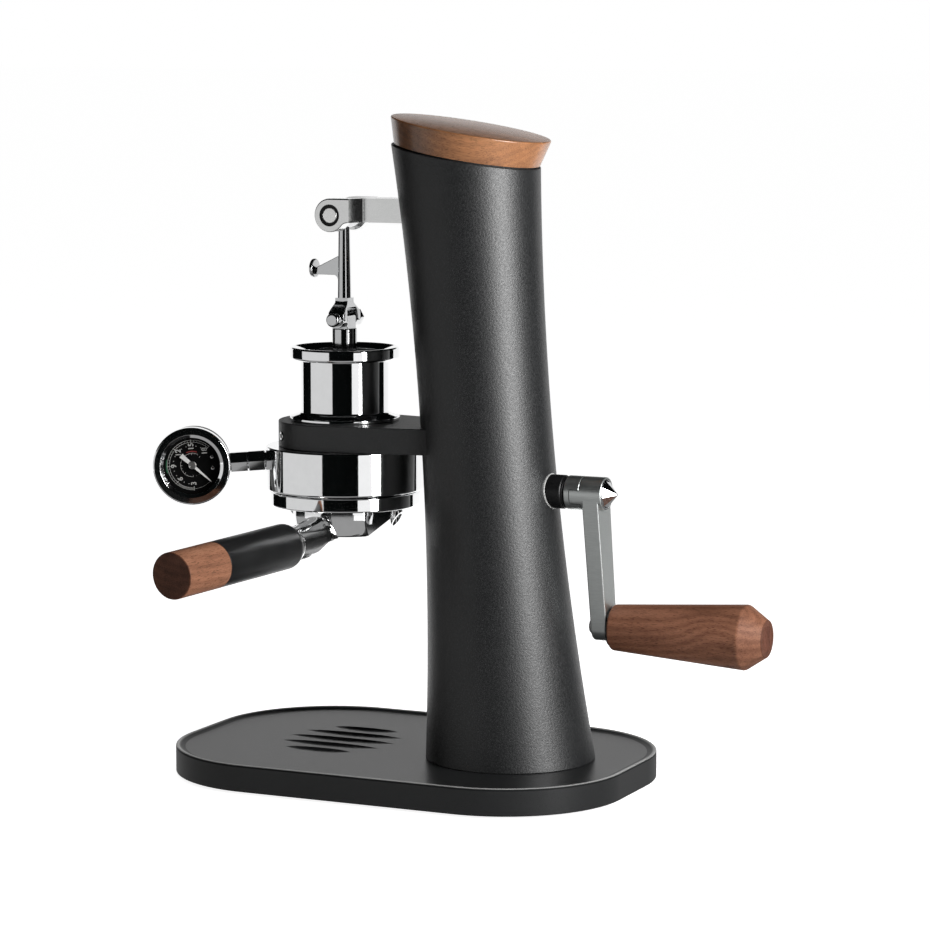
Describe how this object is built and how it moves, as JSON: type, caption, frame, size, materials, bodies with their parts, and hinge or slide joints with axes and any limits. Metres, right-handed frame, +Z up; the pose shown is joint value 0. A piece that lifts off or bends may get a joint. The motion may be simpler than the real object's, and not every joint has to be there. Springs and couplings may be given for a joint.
{
  "type": "manual espresso maker",
  "caption": "Hand-cranked espresso press: leaning tower on a tray, crank and lead screw driving a piston through a chromed cylinder, with bayonet portafilter and pressure gauge.",
  "frame": {"origin": "on the counter under the middle of the tray", "axes": "+X towards the crank, -X towards the brew group, -Y towards the user, +Z up"},
  "size_m": [0.3458, 0.2481, 0.3657],
  "materials": {
    "tray": "matte powder-coat",
    "tower": "fine-textured powder-coat",
    "bracket": "satin powder-coat",
    "walnut": "oiled",
    "chrome": "polished",
    "steel": "satin",
    "bronze": "machined",
    "alloy": "machined",
    "black": "satin",
    "dial": "matte",
    "needle": "matte",
    "rubber": "matte",
    "seal": "matte",
    "glass": "clear",
    "piston": "satin"
  },
  "bodies": {
    "base": {"base_tray": "tray", "base_cover": "tray", "cover_screws": "steel", "rubber_feet": "rubber", "tower_shell": "tower", "tower_screws": "steel", "tower_cap": "walnut", "cap_plate": "black", "cap_screws": "steel", "gear_frame": "alloy", "frame_screws": "steel", "guide_rods": "steel", "screw_bushes": "bronze", "crank_bushing": "black", "bushing_ring": "chrome", "group_bracket": "bracket", "bracket_screws": "steel", "set_screw": "steel", "brew_cylinder": "chrome", "group_ring": "chrome", "group_gasket": "seal", "shower_screen": "steel", "gauge_stem": "steel", "gauge_case": "black", "gauge_movement": "bronze", "gauge_dial": "dial", "gauge_glass": "glass", "gauge_bezel": "chrome"},
    "press": {"carriage": "alloy", "drive_nut": "bronze", "press_arm": "steel", "arm_screws": "steel", "arm_pin": "steel", "link_rod": "steel", "thumb_button": "chrome", "knuckle_bolt": "steel", "knuckle_nut": "steel", "piston_stem": "steel", "piston": "piston", "piston_seals": "seal"},
    "screw": {"lead_screw": "steel", "screw_gear": "steel"},
    "crank": {"crank_shaft": "steel", "drive_gear": "steel", "coupling_ring": "steel", "crank_arm": "steel", "crank_screw": "chrome", "handle_spindle": "steel", "handle_washer": "black"},
    "handle": {"crank_handle": "walnut", "handle_sleeve": "bronze", "handle_plug": "walnut"},
    "needle": {"gauge_needle": "needle"},
    "portafilter": {"portafilter_body": "chrome", "coffee_basket": "steel", "basket_spring": "steel", "portafilter_neck": "chrome", "grip_sleeve": "black", "grip_end": "walnut", "tie_rod": "steel"}
  },
  "joints": [
    {"name": "crank_turn", "type": "hinge", "parent": "base", "child": "crank", "pos_m": [0.09, 0, 0.1634], "axis": [-1, 0, 0], "range_deg": [-1080, 2520]},
    {"name": "screw_turn", "type": "hinge", "parent": "base", "child": "screw", "pos_m": [0.03403, 0, 0.1634], "axis": [0, 0, -1], "range_deg": [-1081, 2521]},
    {"name": "press_slide", "type": "slide", "parent": "base", "child": "press", "axis": [0, 0, -1], "range_m": [-0.01801, 0.04201]},
    {"name": "handle_spin", "type": "hinge", "parent": "crank", "child": "handle", "pos_m": [0.16, 0.01257, 0.08906], "axis": [-1, 0, 0], "continuous": true},
    {"name": "needle_swing", "type": "hinge", "parent": "base", "child": "needle", "pos_m": [-0.11965, -0.03575, 0.17136], "axis": [-0.4226, 0.9063, 0], "range_deg": [0, 270], "stiffness_Nm_per_rad": 0.0002, "springref_deg": -11.46},
    {"name": "portafilter_lock", "type": "hinge", "parent": "base", "child": "portafilter", "pos_m": [-0.04297, 0, 0.15], "axis": [0, 0, 1], "range_deg": [-45, 0]}
  ],
  "couplings": [
    {"joint": "screw_turn", "follows": "crank_turn", "ratio": 1},
    {"joint": "press_slide", "follows": "crank_turn", "m_per_rad": 0.00095493}
  ]
}
